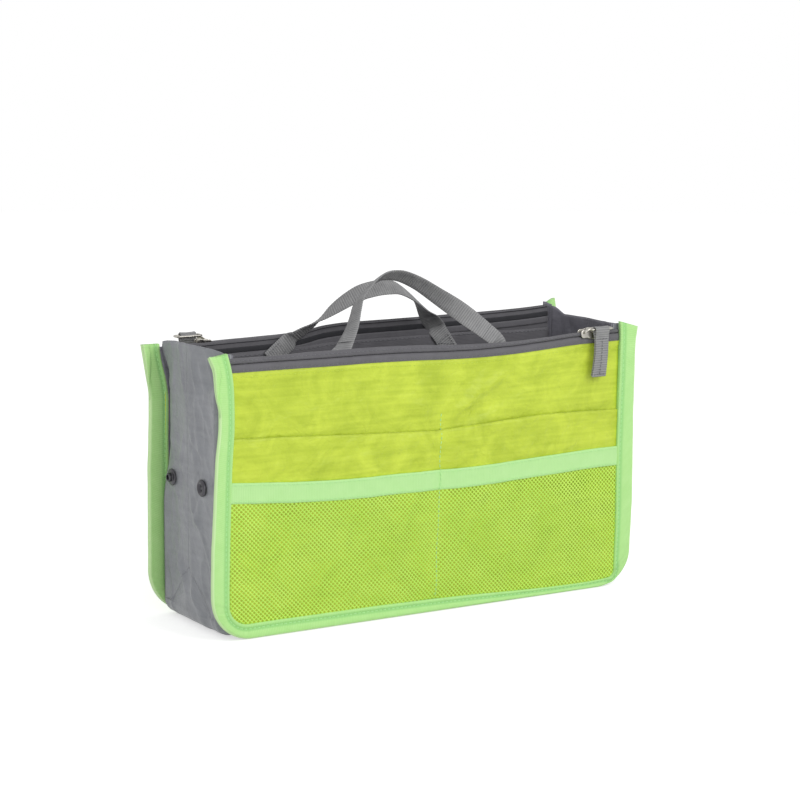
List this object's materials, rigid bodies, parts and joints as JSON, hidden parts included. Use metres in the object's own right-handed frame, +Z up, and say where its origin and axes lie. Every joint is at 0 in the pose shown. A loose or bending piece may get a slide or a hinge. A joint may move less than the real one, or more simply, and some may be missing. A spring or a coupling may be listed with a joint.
{
  "type": "bag organiser insert",
  "caption": "Open-topped handbag organiser: zipped pocket walls with net pockets, a gusset and base that fold and snap together, and webbing handles.",
  "frame": {"origin": "bottom centre of the bag, on the surface it stands on", "axes": "+Z up, +X along the bag's length, -Y the front wall, whose zip closes towards +X"},
  "size_m": [0.308, 0.094, 0.2113],
  "materials": {
    "lime_nylon": "woven nylon taffeta, soft sheen",
    "lime_net": "fine knitted polyester net",
    "mint_binding": "folded woven binding tape",
    "grey_nylon": "woven nylon taffeta, soft sheen",
    "grey_lining": "woven lining, matte",
    "zip_tape": "woven zip tape with a nylon coil",
    "grey_webbing": "ribbed grosgrain webbing",
    "nickel": "polished nickel plate",
    "gunmetal": "dark nickel plate"
  },
  "bodies": {
    "root": {"back_mesh_pocket": "lime_net", "back_mesh_pocket_band": "mint_binding", "back_flat_pocket": "lime_nylon", "back_outer_panel": "lime_nylon", "back_inner_panel": "grey_lining", "back_inner_pocket": "grey_lining", "back_inner_hem": "zip_tape", "back_edge_binding": "mint_binding", "back_gusset_margin": "grey_nylon", "back_zip_outer_tape": "zip_tape", "back_zip_inner_tape": "zip_tape", "back_zip_stop_left": "gunmetal", "back_zip_stop_right": "gunmetal", "back_handle_end_left": "grey_webbing", "back_handle_end_right": "grey_webbing", "left_corner_patch": "grey_nylon", "right_corner_patch": "grey_nylon"},
    "front_wall": {"front_mesh_pocket": "lime_net", "front_mesh_pocket_band": "mint_binding", "front_flat_pocket": "lime_nylon", "front_outer_panel": "lime_nylon", "front_inner_panel": "grey_lining", "front_inner_pocket": "grey_lining", "front_inner_hem": "zip_tape", "front_edge_binding": "mint_binding", "front_gusset_margin": "grey_nylon", "front_zip_outer_tape": "zip_tape", "front_zip_inner_tape": "zip_tape", "front_zip_stop_left": "gunmetal", "front_zip_stop_right": "gunmetal", "front_handle_end_left": "grey_webbing", "front_handle_end_right": "grey_webbing"},
    "left_gusset_rear": {"left_gusset_rear": "grey_nylon", "left_rear_snap_cap": "gunmetal", "left_rear_snap_stud": "gunmetal"},
    "left_gusset_front": {"left_gusset_front": "grey_nylon", "left_front_snap_cap": "gunmetal", "left_front_snap_socket": "gunmetal"},
    "right_gusset_rear": {"right_gusset_rear": "grey_nylon", "right_rear_snap_cap": "gunmetal", "right_rear_snap_stud": "gunmetal"},
    "right_gusset_front": {"right_gusset_front": "grey_nylon", "right_front_snap_cap": "gunmetal", "right_front_snap_socket": "gunmetal"},
    "base_rear": {"base_rear": "grey_nylon"},
    "base_front": {"base_front": "grey_nylon"},
    "front_slider": {"front_zip_slider": "nickel"},
    "front_pull_ring": {"front_pull_ring": "nickel"},
    "front_pull_tab": {"front_pull_tab": "grey_webbing"},
    "front_handle_links": {"front_handle_link_left": "grey_webbing", "front_handle_link_right": "grey_webbing"},
    "front_handle": {"front_handle": "grey_webbing"},
    "back_slider": {"back_zip_slider": "nickel"},
    "back_pull_ring": {"back_pull_ring": "nickel"},
    "back_pull_tab": {"back_pull_tab": "grey_webbing"},
    "back_handle_links": {"back_handle_link_left": "grey_webbing", "back_handle_link_right": "grey_webbing"},
    "back_handle": {"back_handle": "grey_webbing"}
  },
  "joints": [
    {"name": "side_fold", "type": "hinge", "parent": "root", "child": "left_gusset_rear", "pos_m": [-0.1458, 0.0339, 0.085], "axis": [0, 0, 1], "range_deg": [0, 80], "deforming": ["left_corner_patch", "right_corner_patch"]},
    {"name": "right_fold", "type": "hinge", "parent": "root", "child": "right_gusset_rear", "pos_m": [0.1458, 0.0339, 0.085], "axis": [0, 0, 1], "range_deg": [-80.5, 0.5]},
    {"name": "left_crease", "type": "hinge", "parent": "left_gusset_rear", "child": "left_gusset_front", "pos_m": [-0.1466, 0, 0.085], "axis": [0, 0, 1], "range_deg": [-160.5, 0.5]},
    {"name": "front_wall_fold", "type": "hinge", "parent": "left_gusset_front", "child": "front_wall", "pos_m": [-0.1458, -0.0339, 0.085], "axis": [0, 0, 1], "range_deg": [-0.5, 80.5]},
    {"name": "right_crease", "type": "hinge", "parent": "right_gusset_rear", "child": "right_gusset_front", "pos_m": [0.1466, 0, 0.085], "axis": [0, 0, 1], "range_deg": [-0.5, 160.5]},
    {"name": "base_fold", "type": "hinge", "parent": "root", "child": "base_rear", "pos_m": [0, 0.0339, 0.002], "axis": [1, 0, 0], "range_deg": [-80.5, 0.5]},
    {"name": "base_crease", "type": "hinge", "parent": "base_rear", "child": "base_front", "pos_m": [0, 0, 0.0012], "axis": [1, 0, 0], "range_deg": [-0.5, 160.5]},
    {"name": "front_handle_rise", "type": "hinge", "parent": "front_wall", "child": "front_handle_links", "pos_m": [0, -0.0335, 0.166], "axis": [1, 0, 0], "range_deg": [-0.5, 34.98]},
    {"name": "front_handle_swing", "type": "hinge", "parent": "front_handle_links", "child": "front_handle", "pos_m": [0, -0.02821, 0.17459], "axis": [1, 0, 0], "range_deg": [0, 100]},
    {"name": "front_zip_slide", "type": "slide", "parent": "front_wall", "child": "front_slider", "axis": [-1, 0, 0], "range_m": [0, 0.236]},
    {"name": "front_ring_lift", "type": "hinge", "parent": "front_slider", "child": "front_pull_ring", "pos_m": [0.116, -0.03835, 0.1716], "axis": [0, -1, 0], "range_deg": [0, 100]},
    {"name": "front_tab_lift", "type": "hinge", "parent": "front_pull_ring", "child": "front_pull_tab", "pos_m": [0.126, -0.0446, 0.1716], "axis": [-1, 0, 0], "range_deg": [0, 150]},
    {"name": "back_handle_rise", "type": "hinge", "parent": "root", "child": "back_handle_links", "pos_m": [0, 0.0335, 0.166], "axis": [-1, 0, 0], "range_deg": [-0.5, 40.89]},
    {"name": "back_handle_swing", "type": "hinge", "parent": "back_handle_links", "child": "back_handle", "pos_m": [0, 0.02735, 0.174], "axis": [-1, 0, 0], "range_deg": [0, 100]},
    {"name": "back_zip_slide", "type": "slide", "parent": "root", "child": "back_slider", "axis": [1, 0, 0], "range_m": [0, 0.236]},
    {"name": "back_ring_lift", "type": "hinge", "parent": "back_slider", "child": "back_pull_ring", "pos_m": [-0.116, 0.03835, 0.1716], "axis": [0, 1, 0], "range_deg": [0, 100]},
    {"name": "back_tab_lift", "type": "hinge", "parent": "back_pull_ring", "child": "back_pull_tab", "pos_m": [-0.126, 0.0446, 0.1716], "axis": [1, 0, 0], "range_deg": [0, 150]}
  ],
  "couplings": [
    {"joint": "left_crease", "follows": "side_fold", "ratio": -2},
    {"joint": "front_wall_fold", "follows": "side_fold", "ratio": 1},
    {"joint": "right_fold", "follows": "side_fold", "ratio": -1},
    {"joint": "right_crease", "follows": "side_fold", "ratio": 2},
    {"joint": "base_fold", "follows": "side_fold", "ratio": -1},
    {"joint": "base_crease", "follows": "side_fold", "ratio": 2},
    {"joint": "front_handle_rise", "follows": "side_fold", "ratio": 0.43099},
    {"joint": "back_handle_rise", "follows": "side_fold", "ratio": 0.50487}
  ]
}
